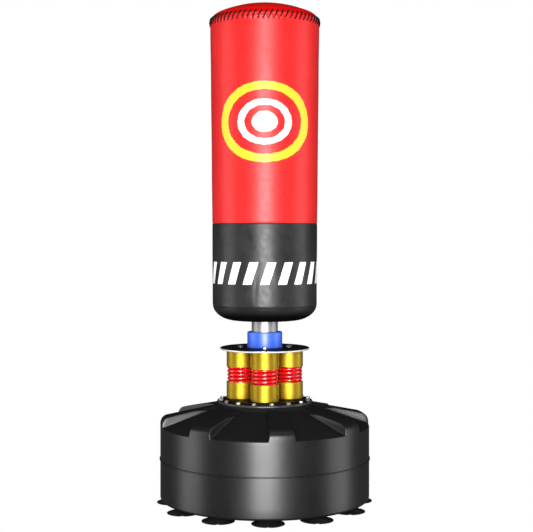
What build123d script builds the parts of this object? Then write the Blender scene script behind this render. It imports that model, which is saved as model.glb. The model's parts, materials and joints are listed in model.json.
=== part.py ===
from build123d import *
import os
from math import acos, asin, cos, degrees, pi, radians, sin

# A free-standing punch bag. A hollow plastic tank stands on twelve suction cups and is filled
# with sand or water through a plug at the back. A steel flange on the tank carries four
# coil springs, each seated in a lower and an upper steel cup. The upper cups hang from a round
# plate with a steel tube on it, and the padded bag sits over the tube and sways on the springs.
# Millimetres, +Z up, origin on the floor under the middle. The front is towards -Y, and an
# azimuth is counted from the front towards +X.

CLEARANCE = 0.3  # between pieces that slip together
WALL = 5.0  # moulded plastic of the tank

# Tank
TANK_R = 300.0
TANK_Z = 14.0  # underside, held off the floor by the suction cups
TANK_FOOT_RADIUS = 8.0
SEAM_Z = 129.0
SEAM_BEAD = 2.2
RIM_Z = 223.0  # outer edge of the sunk panels
COLLAR_R = 140.0
COLLAR_Z = 288.0  # top of the raised collar that the flange lies on
PANEL_INNER_Z = 277.0  # sunk panels where they meet the collar
PIT_R = 96.0  # room for bolt heads under the flange
PIT_Z = 262.0
RIB_COUNT = 8
RIB_ARC = 13.5
RIB_WALL_ARC = 3.0  # taken off a rib's hollow for its two side walls
RIB_AZIMUTH = 9.0
RIB_INNER_Z = 282.0
RIB_SHOULDER_R = 283.0
RIB_SHOULDER_Z = 253.0
RIB_SHOULDER_RADIUS = 24.0

# Filling neck and plug, between two ribs at the back
NECK_AZIMUTH = 166.5
NECK_AT_R = 222.0
NECK_OUTER_R = 31.0
NECK_BORE_R = 23.0
NECK_TOP_Z = 268.0
GASKET_T = 2.0
PLUG_FLANGE_R = 30.0
PLUG_FLANGE_T = 5.0
PLUG_STEM = 12.0

# Suction cups
CUP_COUNT = 12
CUP_AT_R = 265.0
CUP_AZIMUTH = 2.0
CUP_R = 45.0
STUD_R = 4.0
STUD_FOOT_Z = 6.0
STUD_TOP_Z = 32.0
STUD_BOSS_R = 14.0
STUD_BOSS_TOP_Z = 40.0

# Flange and its bolts
FLANGE_R = 137.0
FLANGE_T = 6.0
FLANGE_TOP_Z = COLLAR_Z + FLANGE_T
FLANGE_BOLTS = 16
FLANGE_BOLT_AT_R = 126.0
FLANGE_BOLT_AZIMUTH = -13.5
FLANGE_BOLT_LENGTH = 24.0
INSERT_R = 6.0
INSERT_LENGTH = 20.0
BOLT_R = 4.0
BOLT_HOLE_R = 4.5
BOLT_FLATS = 13.0
BOLT_HEAD = 5.3
NUT_T = 6.5

# Spring columns
COLUMN_AZIMUTHS = {"front": 0.0, "right": 90.0, "rear": 180.0, "left": 270.0}
COLUMN_AT_R = 70.0
SEAT_PLATE_R = 117.0
SEAT_PLATE_T = 4.0
SEAT_TOP_Z = FLANGE_TOP_Z + SEAT_PLATE_T
SPRING_CUP_R = 40.0
SPRING_CUP_WALL = 1.5
SPRING_CUP_FLOOR = 2.0
LOWER_CUP_TOP_Z = 347.0
UPPER_CUP_FOOT_Z = 390.0
SPRING_R = 38.0  # outside of the coil
SPRING_WIRE = 10.0
SPRING_TURNS = 12

# Upper plate, tube and collar
PLATE_R = 128.5
PLATE_Z = 439.0
PLATE_T = 6.0
PLATE_TOP_Z = PLATE_Z + PLATE_T
TUBE_R = 38.0
TUBE_BORE_R = 35.0
TUBE_TOP_Z = 1290.0
SPIGOT_WALL = 3.0
SPIGOT_TOP_Z = 545.0
COLLAR_RING_R = 50.5
COLLAR_RING_TOP_Z = 490.0
END_CAP_T = 4.0
END_CAP_PLUG = 20.0

# Bag
BAG_FOOT_Z = 523.0
BAG_SEAM_Z = 566.0  # where the bottom cap meets the cover
COLOUR_SEAM_Z = 801.0
BAG_TOP_Z = 1375.0
BAG_FOOT_R = 150.0
BAG_MIDDLE_R = 151.0  # at the colour seam
BAG_TOP_R = 157.0
COVER_T = 2.0
BAG_CAP_T = 4.0
BAG_CAP_FLAT_R = 84.0
BAG_CAP_TURN_Z = 571.0  # centre of the turned edge, just above the seam
DOME_RISE = 57.0
DOME_SHOULDER = 30.0  # radius of the dome's outer edge
LINER_BORE_R = 38.5
LINER_R = 42.0
LINER_TOP_T = 8.0
CORE_R = 100.0
STITCH_COUNT = 64
STITCH_R = 2.2
STITCH_OFF = 3.0  # centre of the cord above the cover
STITCH_BELOW = 8.5
STITCH_REACH = 33.0  # degrees that a stitch reaches up round the dome's shoulder
STITCH_SLANT = 3.2  # degrees of azimuth that it leans over on the way

nodes = {}


def around(piece, count, start=0.0):
    """Copies of a piece, evenly spaced about the upright axis."""
    return [Rot(Z=start + 360 / count * i) * piece for i in range(count)]


def at(azimuth, radius, z=0.0):
    """The place at an azimuth from the front, at a radius and a height."""
    return Rot(Z=azimuth) * Pos(0, -radius, z)


def outline(*points):
    """A closed flat shape through (radius, height) points."""
    return make_face(Polyline(*points, close=True))


def soften(shape, corner, radius):
    """The flat shape with its corner nearest to a point rounded."""
    nearest = shape.vertices().sort_by_distance(Vector(*corner))[0]
    return fillet(nearest, radius)


def spin(shape, arc=360.0):
    """The solid that a (radius, height) shape sweeps about the upright axis."""
    return revolve(Plane.XZ * shape, Axis.Z, arc)


def rod(radius, low, high):
    return Pos(0, 0, low) * Cylinder(radius, high - low, align=(Align.CENTER, Align.CENTER, Align.MIN))


def pipe(radius, bore, low, high):
    return rod(radius, low, high) - rod(bore, low - 1, high + 1)


def hexagon(height):
    return extrude(RegularPolygon(BOLT_FLATS / 2, 6, major_radius=False), height)


def hex_bolt(length):
    """A bolt whose head stands on z = 0 and whose shank hangs below."""
    return hexagon(BOLT_HEAD) + rod(BOLT_R, -length, 0)


def hex_nut():
    return hexagon(NUT_T) - rod(BOLT_R + CLEARANCE / 2, -1, NUT_T + 1)


def bag_radius(z):
    """Outside radius of the cover, which widens a little towards the top."""
    if z < COLOUR_SEAM_Z:
        share = (z - BAG_SEAM_Z) / (COLOUR_SEAM_Z - BAG_SEAM_Z)
        return BAG_FOOT_R + (BAG_MIDDLE_R - BAG_FOOT_R) * share
    share = (z - COLOUR_SEAM_Z) / (BAG_TOP_Z - COLOUR_SEAM_Z)
    return BAG_MIDDLE_R + (BAG_TOP_R - BAG_MIDDLE_R) * share


# Tank ----------------------------------------------------------------------------------------


def falling_line(radius, inner_z, outer_r, outer_z):
    """Height at a radius of a straight slope that falls outwards from the collar."""
    return inner_z + (outer_z - inner_z) * (radius - COLLAR_R) / (outer_r - COLLAR_R)


def rib_top(radius):
    return falling_line(radius, RIB_INNER_Z, RIB_SHOULDER_R, RIB_SHOULDER_Z)


def panel_top(radius):
    return falling_line(radius, PANEL_INNER_Z, TANK_R, RIM_Z)


def tank_form(wall, collar_r, collar_z, panel_inner_r, panel_arc):
    """The tank as if the ribs ran all round, less the sunk panels. A wall gives its hollow."""
    side = TANK_R - wall
    form = outline(
        (0, TANK_Z + wall),
        (side, TANK_Z + wall),
        (side, rib_top(side) - wall),
        (collar_r, rib_top(collar_r) - wall),
        (collar_r, collar_z),
        (0, collar_z),
    )
    form = soften(form, (side, TANK_Z + wall), TANK_FOOT_RADIUS - wall / 2)
    form = soften(form, (side, rib_top(side) - wall), RIB_SHOULDER_RADIUS - wall / 2)
    past_r, past_z = TANK_R + 10, COLLAR_Z + 10
    panel = outline(
        (panel_inner_r, panel_top(panel_inner_r) - wall),
        (past_r, panel_top(past_r) - wall),
        (past_r, past_z),
        (panel_inner_r, past_z),
    )
    cut = Rot(Z=-90 - panel_arc / 2) * spin(panel, panel_arc)
    body = spin(form)
    for sunk in around(cut, RIB_COUNT, RIB_AZIMUTH + 180 / RIB_COUNT):
        body -= sunk
    return body


def seam_bead():
    return spin(
        outline(
            (TANK_R - 1, SEAM_Z - SEAM_BEAD),
            (TANK_R, SEAM_Z - SEAM_BEAD),
            (TANK_R + SEAM_BEAD, SEAM_Z - SEAM_BEAD / 2),
            (TANK_R + SEAM_BEAD, SEAM_Z + SEAM_BEAD / 2),
            (TANK_R, SEAM_Z + SEAM_BEAD),
            (TANK_R - 1, SEAM_Z + SEAM_BEAD),
        )
    )


def base_tank():
    panel_arc = 360 / RIB_COUNT - RIB_ARC
    shell = tank_form(0.0, COLLAR_R, COLLAR_Z, COLLAR_R + 1, panel_arc) + seam_bead()
    shell += at(NECK_AZIMUTH, NECK_AT_R) * rod(NECK_OUTER_R, RIM_Z, NECK_TOP_Z)
    hollow = tank_form(WALL, COLLAR_R + 2 * WALL, PIT_Z - 2 * WALL, COLLAR_R + WALL, panel_arc + RIB_WALL_ARC)
    boss = Pos(0, -CUP_AT_R, 0) * rod(STUD_BOSS_R, TANK_Z, STUD_BOSS_TOP_Z)
    for keep in around(boss, CUP_COUNT, CUP_AZIMUTH):
        hollow -= keep
    shell -= hollow
    shell -= rod(PIT_R, PIT_Z, COLLAR_Z + 1)
    shell -= at(NECK_AZIMUTH, NECK_AT_R) * rod(NECK_BORE_R, RIM_Z - WALL, NECK_TOP_Z + 1)
    insert_hole = rod(INSERT_R + CLEARANCE / 4, COLLAR_Z - FLANGE_BOLT_LENGTH, COLLAR_Z + 1)
    for hole in around(Pos(0, -FLANGE_BOLT_AT_R, 0) * insert_hole, FLANGE_BOLTS, FLANGE_BOLT_AZIMUTH):
        shell -= hole
    stud_hole = rod(STUD_R + CLEARANCE / 4, TANK_Z - 1, STUD_TOP_Z + 2)
    for hole in around(Pos(0, -CUP_AT_R, 0) * stud_hole, CUP_COUNT, CUP_AZIMUTH):
        shell -= hole
    return shell


# Suction cups --------------------------------------------------------------------------------


def suction_cup():
    """A rubber cup with a thin lip on the floor and a neck against the tank."""
    upper = ThreePointArc((CUP_R, 1.4), (30.0, 5.2), (18.0, 10.6))
    under = ThreePointArc((0.0, 4.6), (22.0, 3.7), (CUP_R - 2.0, 0.0))
    sides = [
        Polyline((CUP_R - 2.0, 0.0), (CUP_R, 0.0), (CUP_R, 1.4)),
        Polyline((18.0, 10.6), (16.0, TANK_Z), (0.0, TANK_Z), (0.0, 4.6)),
    ]
    shape = make_face([*under.edges(), *sides[0].edges(), *upper.edges(), *sides[1].edges()])
    return spin(shape) - rod(STUD_R + CLEARANCE / 4, STUD_FOOT_Z, TANK_Z + 1)


def suction_cups():
    cup = Pos(0, -CUP_AT_R, 0) * suction_cup()
    for i, copy in enumerate(around(cup, CUP_COUNT, CUP_AZIMUTH), start=1):
        nodes[f"suction_cup_{i:02d}"] = copy
    stud = Pos(0, -CUP_AT_R, 0) * rod(STUD_R, STUD_FOOT_Z, STUD_TOP_Z)
    nodes["suction_cup_studs"] = Compound(children=around(stud, CUP_COUNT, CUP_AZIMUTH))


# Filling plug --------------------------------------------------------------------------------


def fill_plug():
    """A bung with a flange, a hollow stem and a finger bar, over the filling neck."""
    seat = NECK_TOP_Z + GASKET_T
    top = seat + PLUG_FLANGE_T
    stem_r = NECK_BORE_R - CLEARANCE
    plug = rod(PLUG_FLANGE_R, seat, top) + rod(stem_r, NECK_TOP_Z - PLUG_STEM, seat)
    plug -= rod(stem_r - 3.0, NECK_TOP_Z - PLUG_STEM - 1, seat - 1)
    bar = Pos(0, 0, top) * Box(44, 8, 9, align=(Align.CENTER, Align.CENTER, Align.MIN))
    plug += fillet(bar.edges().group_by(Axis.Z)[-1], 2.0)
    gasket = pipe(PLUG_FLANGE_R - 1, NECK_BORE_R + 0.5, NECK_TOP_Z, seat)
    nodes["fill_plug"] = at(NECK_AZIMUTH, NECK_AT_R) * plug
    nodes["fill_plug_gasket"] = at(NECK_AZIMUTH, NECK_AT_R) * gasket


# Flange --------------------------------------------------------------------------------------


def column_holes(low, high):
    return around(Pos(0, -COLUMN_AT_R, 0) * rod(BOLT_HOLE_R, low - 1, high + 1), len(COLUMN_AZIMUTHS))


def flange():
    disc = rod(FLANGE_R, COLLAR_Z, FLANGE_TOP_Z)
    disc = fillet(disc.edges().group_by(Axis.Z)[-1], 2.0)
    hole = Pos(0, -FLANGE_BOLT_AT_R, 0) * rod(BOLT_HOLE_R, COLLAR_Z - 1, FLANGE_TOP_Z + 1)
    for cut in around(hole, FLANGE_BOLTS, FLANGE_BOLT_AZIMUTH) + column_holes(COLLAR_Z, FLANGE_TOP_Z):
        disc -= cut
    nodes["base_flange"] = disc
    bolt = Pos(0, -FLANGE_BOLT_AT_R, FLANGE_TOP_Z) * hex_bolt(FLANGE_BOLT_LENGTH)
    nodes["flange_bolts"] = Compound(children=around(bolt, FLANGE_BOLTS, FLANGE_BOLT_AZIMUTH))
    insert = Pos(0, -FLANGE_BOLT_AT_R, 0) * pipe(
        INSERT_R, BOLT_R + CLEARANCE / 2, COLLAR_Z - INSERT_LENGTH, COLLAR_Z
    )
    nodes["flange_inserts"] = Compound(children=around(insert, FLANGE_BOLTS, FLANGE_BOLT_AZIMUTH))
    plate = rod(SEAT_PLATE_R, FLANGE_TOP_Z, SEAT_TOP_Z)
    for cut in column_holes(FLANGE_TOP_Z, SEAT_TOP_Z):
        plate -= cut
    nodes["spring_seat_plate"] = plate


# Spring columns ------------------------------------------------------------------------------


def spring_cup(closed_z, open_z):
    """A drawn steel cup with a bolt hole in its closed end."""
    low, high = sorted((closed_z, open_z))
    inward = 1 if open_z > closed_z else -1
    floor_z = closed_z + inward * SPRING_CUP_FLOOR
    room_low, room_high = sorted((floor_z, open_z + inward))
    cup = rod(SPRING_CUP_R, low, high)
    cup = fillet(cup.edges().filter_by(GeomType.CIRCLE), 0.6)
    cup -= rod(SPRING_CUP_R - SPRING_CUP_WALL, room_low, room_high)
    return cup - rod(BOLT_HOLE_R, low - 1, high + 1)


def coil_spring(low, high):
    """A round wire wound between two cup floors."""
    wire_r = SPRING_WIRE / 2
    start = low + wire_r + CLEARANCE / 2
    length = high - low - SPRING_WIRE - CLEARANCE
    turn = Helix(length / SPRING_TURNS, length, SPRING_R - wire_r)
    section = Plane(origin=turn @ 0, z_dir=turn % 0) * Circle(wire_r)
    return Pos(0, 0, start) * sweep(section, path=turn, is_frenet=True)


def spring_columns():
    lower = spring_cup(SEAT_TOP_Z, LOWER_CUP_TOP_Z)
    upper = spring_cup(PLATE_Z, UPPER_CUP_FOOT_Z)
    coil = coil_spring(SEAT_TOP_Z + SPRING_CUP_FLOOR, PLATE_Z - SPRING_CUP_FLOOR)
    for side, azimuth in COLUMN_AZIMUTHS.items():
        nodes[f"lower_spring_cup_{side}"] = at(azimuth, COLUMN_AT_R) * lower
        nodes[f"upper_spring_cup_{side}"] = at(azimuth, COLUMN_AT_R) * upper
        nodes[f"spring_{side}"] = at(azimuth, COLUMN_AT_R) * coil
    count = len(COLUMN_AZIMUTHS)
    lower_bolt = Pos(0, -COLUMN_AT_R, COLLAR_Z) * (Rot(X=180) * hex_bolt(22.0))
    lower_nut = Pos(0, -COLUMN_AT_R, SEAT_TOP_Z + SPRING_CUP_FLOOR) * hex_nut()
    upper_bolt = Pos(0, -COLUMN_AT_R, PLATE_TOP_Z) * hex_bolt(20.0)
    upper_nut = Pos(0, -COLUMN_AT_R, PLATE_Z - SPRING_CUP_FLOOR - NUT_T) * hex_nut()
    nodes["lower_column_bolts"] = Compound(children=around(lower_bolt, count))
    nodes["lower_column_nuts"] = Compound(children=around(lower_nut, count))
    nodes["upper_column_bolts"] = Compound(children=around(upper_bolt, count))
    nodes["upper_column_nuts"] = Compound(children=around(upper_nut, count))


# Upper plate and tube ------------------------------------------------------------------------


def tube_stack():
    plate = rod(PLATE_R, PLATE_Z, PLATE_TOP_Z)
    plate = fillet(plate.edges().group_by(Axis.Z)[-1], 1.5)
    for cut in column_holes(PLATE_Z, PLATE_TOP_Z):
        plate -= cut
    nodes["top_plate"] = plate
    spigot_r = TUBE_BORE_R - CLEARANCE
    nodes["tube_spigot"] = pipe(spigot_r, spigot_r - SPIGOT_WALL, PLATE_TOP_Z, SPIGOT_TOP_Z)
    nodes["centre_tube"] = pipe(TUBE_R, TUBE_BORE_R, PLATE_TOP_Z, TUBE_TOP_Z)
    collar = pipe(COLLAR_RING_R, TUBE_R + CLEARANCE, PLATE_TOP_Z, COLLAR_RING_TOP_Z)
    rim = collar.edges().group_by(Axis.Z)[-1].sort_by(SortBy.RADIUS)[-1]
    nodes["blue_collar"] = fillet(rim, 2.0)
    end_cap = rod(TUBE_R, TUBE_TOP_Z, TUBE_TOP_Z + END_CAP_T)
    end_cap += rod(TUBE_BORE_R - CLEARANCE, TUBE_TOP_Z - END_CAP_PLUG, TUBE_TOP_Z)
    nodes["tube_end_cap"] = end_cap


# Bag -----------------------------------------------------------------------------------------


def cover_sleeve(low, high, thickness, inner_gap=0.0):
    """A tapered sleeve that follows the outside of the bag between two heights."""
    off = thickness + inner_gap
    return spin(
        outline(
            (bag_radius(low) - off, low),
            (bag_radius(low) - inner_gap, low),
            (bag_radius(high) - inner_gap, high),
            (bag_radius(high) - off, high),
        )
    )


def bottom_cap():
    """A moulded cup that closes the foot of the bag, with a hole for the tube."""
    hole_r = LINER_R + CLEARANCE
    centre = (BAG_CAP_FLAT_R, BAG_CAP_TURN_Z)

    def turned_edge(off):
        """The arc that runs from the flat foot up to the seam, at a depth below the skin."""
        reach = BAG_FOOT_R - BAG_CAP_FLAT_R - off
        drop = BAG_CAP_TURN_Z - BAG_FOOT_Z - off
        arc = degrees(acos((BAG_CAP_TURN_Z - BAG_SEAM_Z) / drop))
        return EllipticalCenterArc(centre, reach, drop, start_angle=270, arc_size=arc)

    outer, inner = turned_edge(0), turned_edge(BAG_CAP_T)
    floor = Line((hole_r, BAG_FOOT_Z), outer @ 0)
    lip = Line(outer @ 1, inner @ 1)
    inner_floor = Line(inner @ 0, (hole_r, BAG_FOOT_Z + BAG_CAP_T))
    hole = Line((hole_r, BAG_FOOT_Z + BAG_CAP_T), (hole_r, BAG_FOOT_Z))
    return spin(make_face([floor, outer, lip, inner, inner_floor, hole]))


def half_dome(off):
    """Half section of the domed top: a tight shoulder arc that runs into a flat crown arc."""
    centre_r = BAG_TOP_R - DOME_SHOULDER
    crown = (centre_r**2 + DOME_RISE**2 - DOME_SHOULDER**2) / (2 * (DOME_RISE - DOME_SHOULDER))
    turn = asin(centre_r / (crown - DOME_SHOULDER))

    def on_arc(middle_r, middle_rise, radius, angle):
        return middle_r + (radius - off) * sin(angle), BAG_TOP_Z + middle_rise + (radius - off) * cos(angle)

    edge = on_arc(centre_r, 0, DOME_SHOULDER, pi / 2)
    joint = on_arc(centre_r, 0, DOME_SHOULDER, turn)
    shoulder = ThreePointArc(edge, on_arc(centre_r, 0, DOME_SHOULDER, (pi / 2 + turn) / 2), joint)
    top = on_arc(0, DOME_RISE - crown, crown, 0)
    roof = ThreePointArc(joint, on_arc(0, DOME_RISE - crown, crown, turn / 2), top)
    return make_face([shoulder, roof, Line(top, (0, BAG_TOP_Z)), Line((0, BAG_TOP_Z), edge)])


def top_panel():
    return spin(half_dome(0) - half_dome(COVER_T))


def top_foam_pad(low_z):
    """The pad that fills the dome and reaches a little way down inside the cover."""
    off = COVER_T + CLEARANCE
    radius = BAG_TOP_R - off - CLEARANCE
    skirt = Pos(radius / 2, (low_z + BAG_TOP_Z) / 2) * Rectangle(radius, BAG_TOP_Z - low_z)
    return spin(half_dome(off) + skirt)


def stitch_point(angle, azimuth):
    """A place above the dome's shoulder, at an angle up round the shoulder's arc."""
    reach = DOME_SHOULDER + STITCH_OFF
    radius = BAG_TOP_R - DOME_SHOULDER + reach * cos(radians(angle))
    turn = radians(azimuth)
    return Vector(radius * sin(turn), -radius * cos(turn), BAG_TOP_Z + reach * sin(radians(angle)))


def stitch():
    """One bent stitch of the cord that whips the dome to the cover, at the front."""
    low_z = BAG_TOP_Z - STITCH_BELOW
    low = Vector(0, -(bag_radius(low_z) + STITCH_OFF), low_z)
    bend = stitch_point(0, 0)
    middle = stitch_point(STITCH_REACH / 2, STITCH_SLANT / 2)
    path = FilletPolyline(low, bend, middle, stitch_point(STITCH_REACH, STITCH_SLANT), radius=3.0)
    section = Plane(origin=low, z_dir=bend - low) * Circle(STITCH_R)
    return sweep(section, path=path)


def bag():
    nodes["cover_black"] = cover_sleeve(BAG_SEAM_Z, COLOUR_SEAM_Z, COVER_T)
    nodes["cover_red"] = cover_sleeve(COLOUR_SEAM_Z, BAG_TOP_Z, COVER_T)
    nodes["bag_bottom_cap"] = bottom_cap()
    nodes["top_panel"] = top_panel()
    nodes["top_stitching"] = Compound(children=around(stitch(), STITCH_COUNT))
    foam_top = BAG_TOP_Z - 4
    nodes["top_foam_pad"] = top_foam_pad(foam_top)
    liner_low = BAG_FOOT_Z + BAG_CAP_T / 2
    liner_roof = TUBE_TOP_Z + END_CAP_T
    liner = rod(LINER_R, liner_low, liner_roof + LINER_TOP_T)
    nodes["bag_liner"] = liner - rod(LINER_BORE_R, liner_low - 1, liner_roof)
    bore_r = LINER_R + CLEARANCE
    core = rod(CORE_R, BAG_FOOT_Z + BAG_CAP_T + 2.5, foam_top)
    core -= rod(bore_r, BAG_FOOT_Z, liner_roof + LINER_TOP_T)
    nodes["foam_core"] = core
    off = COVER_T + CLEARANCE
    gap_r = CORE_R + CLEARANCE
    nodes["foam_outer"] = spin(
        outline(
            (gap_r, BAG_FOOT_Z + 9),
            (gap_r + 16, BAG_FOOT_Z + 11),
            (bag_radius(BAG_SEAM_Z) - 14, BAG_SEAM_Z - 12),
            (bag_radius(BAG_SEAM_Z) - 5, BAG_SEAM_Z + 3),
            (bag_radius(BAG_SEAM_Z + 6) - off, BAG_SEAM_Z + 6),
            (BAG_MIDDLE_R - off, COLOUR_SEAM_Z),
            (bag_radius(foam_top) - off, foam_top),
            (gap_r, foam_top),
        )
    )


nodes["base_tank"] = base_tank()
suction_cups()
fill_plug()
flange()
spring_columns()
tube_stack()
bag()

os.makedirs("parts", exist_ok=True)
for name, shape in nodes.items():
    export_step(shape, f"parts/{name}.step")
print(len(nodes), "nodes written")
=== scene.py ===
"""Looks for a free-standing punch bag: covers, stitching, tank, columns and their materials."""

import json
import math

import bmesh
import bpy
import numpy as np
from mathutils import Matrix, Vector


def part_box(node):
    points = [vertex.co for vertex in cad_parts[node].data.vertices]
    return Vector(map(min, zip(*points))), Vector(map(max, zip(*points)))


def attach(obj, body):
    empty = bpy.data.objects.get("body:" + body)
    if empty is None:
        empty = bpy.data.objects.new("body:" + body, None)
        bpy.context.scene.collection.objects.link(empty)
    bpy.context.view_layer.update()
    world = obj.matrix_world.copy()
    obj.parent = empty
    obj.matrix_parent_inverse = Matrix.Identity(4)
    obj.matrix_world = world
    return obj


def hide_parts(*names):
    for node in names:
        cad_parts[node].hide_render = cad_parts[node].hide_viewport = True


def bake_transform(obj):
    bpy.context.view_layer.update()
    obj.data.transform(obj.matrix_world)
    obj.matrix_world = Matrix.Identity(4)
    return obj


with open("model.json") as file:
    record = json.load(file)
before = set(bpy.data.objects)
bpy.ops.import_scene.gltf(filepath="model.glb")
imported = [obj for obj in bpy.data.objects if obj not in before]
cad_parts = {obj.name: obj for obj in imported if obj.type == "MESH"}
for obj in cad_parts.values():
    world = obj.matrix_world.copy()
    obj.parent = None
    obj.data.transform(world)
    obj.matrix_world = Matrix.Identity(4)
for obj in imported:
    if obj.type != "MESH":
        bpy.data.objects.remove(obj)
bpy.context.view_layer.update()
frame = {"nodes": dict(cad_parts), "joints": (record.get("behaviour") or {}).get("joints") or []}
TAU = math.tau
MM = 0.001

# Driving sizes, in metres -------------------------------------------------------------------

SIDES = ("front", "right", "rear", "left")
RIB_COUNT = 8
RIB_AZIMUTH = math.radians(9.0)
RIB_HALF_ARC = math.radians(6.75)
RIB_EDGE = 5 * MM  # width of the soft step at a rib's side
BEAD_OUT = 2.2 * MM
PIVOT_Z = frame["joints"][0]["pos_m"][2]
FLANGE_BOLTS = 16
FLANGE_BOLT_AT_R = 126 * MM
FLANGE_BOLT_AZIMUTH = math.radians(-13.5)
BOLT_HEAD_TALL = 5.3 * MM
COLUMN_AT_R = 70 * MM  # from the middle to the spring columns
DULL_STEPS = 5  # materials from the full gloss of upright faces to the dull of flat ones
# Between these slopes the domed top also takes painted shade: a darker red on the faces that look up.
DOME_SLOPES = (0.08, 0.36)  # where the bag's top starts and ends to go dull
# Above this height the tank takes its painted flat tone and loses its gloss, as painted shade round the
# collar.
TANK_DULL_Z = 268 * MM
STITCH_COUNT = 64
BAG_SEGMENTS = STITCH_COUNT * 8
STITCH_R = 2.5 * MM
STITCH_LEAN = math.radians(4.4)  # from its foot on the cover to its head on the dome
COVER_T = 2 * MM


def low(node):
    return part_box(node)[0]


def high(node):
    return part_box(node)[1]


def middle(node):
    return (low(node) + high(node)) / 2


COLLAR_Z = high("base_tank").z
TANK_Z = low("base_tank").z
TANK_R = high("base_tank").x - BEAD_OUT
FLANGE_TOP_Z = high("base_flange").z
BAG_FOOT_Z = low("bag_bottom_cap").z
BAG_SEAM_Z = low("cover_black").z
COLOUR_SEAM_Z = low("cover_red").z
BAG_TOP_Z = high("cover_red").z
BAG_FOOT_R = 150 * MM
BAG_MIDDLE_R = high("cover_black").x  # at the colour seam
BAG_TOP_R = high("cover_red").x
DOME_RISE = high("top_panel").z - BAG_TOP_Z
DOME_SHOULDER = 30 * MM
CAP_FLAT_R = 84 * MM
CAP_TURN_Z = 571 * MM
CAP_HOLE_R = 42.4 * MM


# Mesh tools ---------------------------------------------------------------------------------


def smoothstep(x):
    x = np.clip(x, 0.0, 1.0)
    return x * x * (3 - 2 * x)


def rounded(corners, steps=6):
    """A profile from (radius, height, corner radius) rows, each corner turned into an arc."""
    points = []
    for i, (x, z, bend) in enumerate(corners):
        here = Vector((x, z))
        inner = 0 < i < len(corners) - 1
        before = Vector(corners[i - 1][:2]) - here if inner else None
        after = Vector(corners[i + 1][:2]) - here if inner else None
        if not inner or bend == 0 or before.angle(after) > math.radians(179):
            points.append((x, z))
            continue
        half = before.angle(after) / 2
        reach = min(bend / math.tan(half), before.length * 0.49, after.length * 0.49)
        radius = reach * math.tan(half)
        centre = here + (before.normalized() + after.normalized()).normalized() * (radius / math.sin(half))
        start = here + before.normalized() * reach - centre
        end = here + after.normalized() * reach - centre
        first = math.atan2(start.y, start.x)
        sweep = (math.atan2(end.y, end.x) - first + math.pi) % TAU - math.pi
        angles = [first + sweep * k / steps for k in range(steps + 1)]
        points += [(centre.x + radius * math.cos(a), centre.y + radius * math.sin(a)) for a in angles]
    return points


def filled(points, step):
    """The profile with extra points, so that no stretch is longer than a step."""
    out = [points[0]]
    for (x0, z0), (x1, z1) in zip(points, points[1:]):
        count = max(1, math.ceil(math.hypot(x1 - x0, z1 - z0) / step))
        out += [(x0 + (x1 - x0) * k / count, z0 + (z1 - z0) * k / count) for k in range(1, count + 1)]
    return out


def even_azimuths(count):
    return np.arange(count) * TAU / count


def ring_points(azimuth, radius, height):
    """Places at azimuths counted from the front (-Y) towards +X."""
    return np.stack([radius * np.sin(azimuth), -radius * np.cos(azimuth), height], axis=-1)


def grid_faces(rows, columns, wrap_rows, wrap_columns):
    """Quads of a grid of points stored row by row."""
    r = np.arange(rows if wrap_rows else rows - 1)
    c = np.arange(columns if wrap_columns else columns - 1)
    r, c = np.meshgrid(r, c, indexing="ij")
    r2, c2 = (r + 1) % rows, (c + 1) % columns
    quads = np.stack([r * columns + c, r2 * columns + c, r2 * columns + c2, r * columns + c2], axis=-1)
    return quads.reshape(-1, 4)


def make_object(name, vertices, faces, sharp=35.0):
    """A smooth-shaded object from points and faces, welded, with outward normals."""
    mesh = bpy.data.meshes.new(name)
    mesh.from_pydata(np.asarray(vertices).reshape(-1, 3).tolist(), [], [tuple(f) for f in faces])
    work = bmesh.new()
    work.from_mesh(mesh)
    bmesh.ops.remove_doubles(work, verts=work.verts, dist=2e-6)
    bmesh.ops.dissolve_degenerate(work, edges=work.edges, dist=1e-6)
    bmesh.ops.recalc_face_normals(work, faces=work.faces)
    work.to_mesh(mesh)
    work.free()
    mesh.shade_smooth()
    mesh.set_sharp_from_angle(angle=math.radians(sharp))
    piece = bpy.data.objects.new(name, mesh)
    bpy.context.scene.collection.objects.link(piece)
    return piece


def lathe(name, profile, segments=192, shape=None, closed=False, sharp=40.0, centre=(0, 0)):
    """Turns a (radius, height) profile about an upright axis. A shape function may move the points."""
    azimuth = even_azimuths(segments)[:, None]
    line = np.array(profile, float)
    radius = np.repeat(line[None, :, 0], len(azimuth), axis=0)
    height = np.repeat(line[None, :, 1], len(azimuth), axis=0)
    if shape is not None:
        radius, height = shape(azimuth, radius, height)
    points = ring_points(azimuth, radius, height) + np.array([centre[0], centre[1], 0.0])
    return make_object(name, points, grid_faces(len(azimuth), len(line), True, closed), sharp)


def tube_along(path, radius, sides=12, lobes=0, twist=0.0, lobe_depth=0.0):
    """Points and faces of a tube along a path. Lobes that twist along it look like laid plies."""
    path = np.asarray(path, float)
    ahead = np.gradient(path, axis=0)
    ahead /= np.linalg.norm(ahead, axis=1)[:, None]
    span = np.concatenate([[0], np.cumsum(np.linalg.norm(np.diff(path, axis=0), axis=1))])
    side = np.cross(ahead[0], (0.3, 0.2, 0.9))
    rings = []
    angle = even_azimuths(sides)
    radius = np.broadcast_to(radius, len(path))
    for i, forward in enumerate(ahead):
        side = side - forward * np.dot(side, forward)
        side /= np.linalg.norm(side)
        up = np.cross(forward, side)
        swell = 1 + lobe_depth * np.cos(lobes * (angle - twist * span[i])) if lobes else np.ones(sides)
        ring = np.cos(angle)[:, None] * side + np.sin(angle)[:, None] * up
        rings.append(path[i] + ring * (radius[i] * swell)[:, None])
    points = np.concatenate(rings)
    faces = [tuple(f) for f in grid_faces(len(path), sides, False, True)]
    faces.append(tuple(range(sides))[::-1])
    faces.append(tuple(range(len(points) - sides, len(points))))
    return points, faces


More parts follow.
